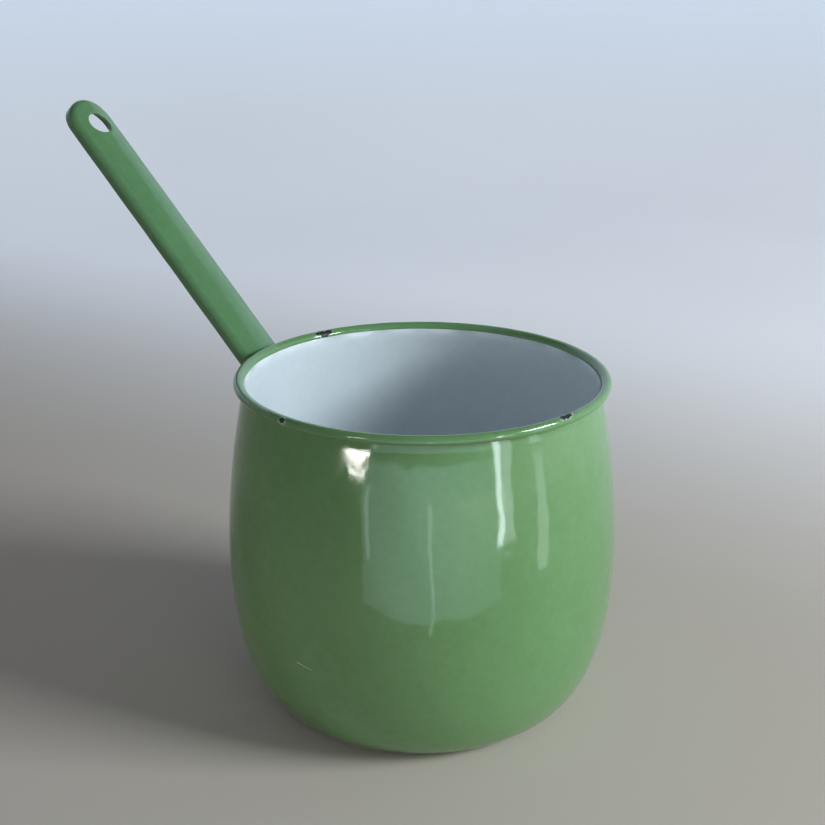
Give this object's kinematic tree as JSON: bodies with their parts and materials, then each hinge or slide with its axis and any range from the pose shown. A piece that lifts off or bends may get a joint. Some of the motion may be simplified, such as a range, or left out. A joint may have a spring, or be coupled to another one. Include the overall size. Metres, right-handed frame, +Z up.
{
  "type": "enamel milk pan",
  "caption": "Round-bellied enamelled steel pan, green outside and white inside, with a rolled rim and a long rising channel handle that has a hanging hole; warms and pours milk.",
  "frame": {"origin": "middle of the flat base, on the surface that the pan stands on", "axes": "+Z up along the pot's axis, the handle towards -X, the pan the same on both sides of the XZ plane"},
  "size_m": [0.2193, 0.1386, 0.2063],
  "materials": {
    "ground_coated_steel": "dark, fired ground coat",
    "green_enamel": "glossy vitreous enamel",
    "white_enamel": "glossy vitreous enamel",
    "handle_enamel": "pressed steel under glossy vitreous enamel",
    "weld_metal": "fused spot weld"
  },
  "bodies": {
    "root": {"steel_body": "ground_coated_steel", "green_coat": "green_enamel", "white_lining": "white_enamel", "handle": "handle_enamel", "weld_upper_left": "weld_metal", "weld_upper_right": "weld_metal", "weld_lower_left": "weld_metal", "weld_lower_right": "weld_metal"}
  },
  "joints": []
}
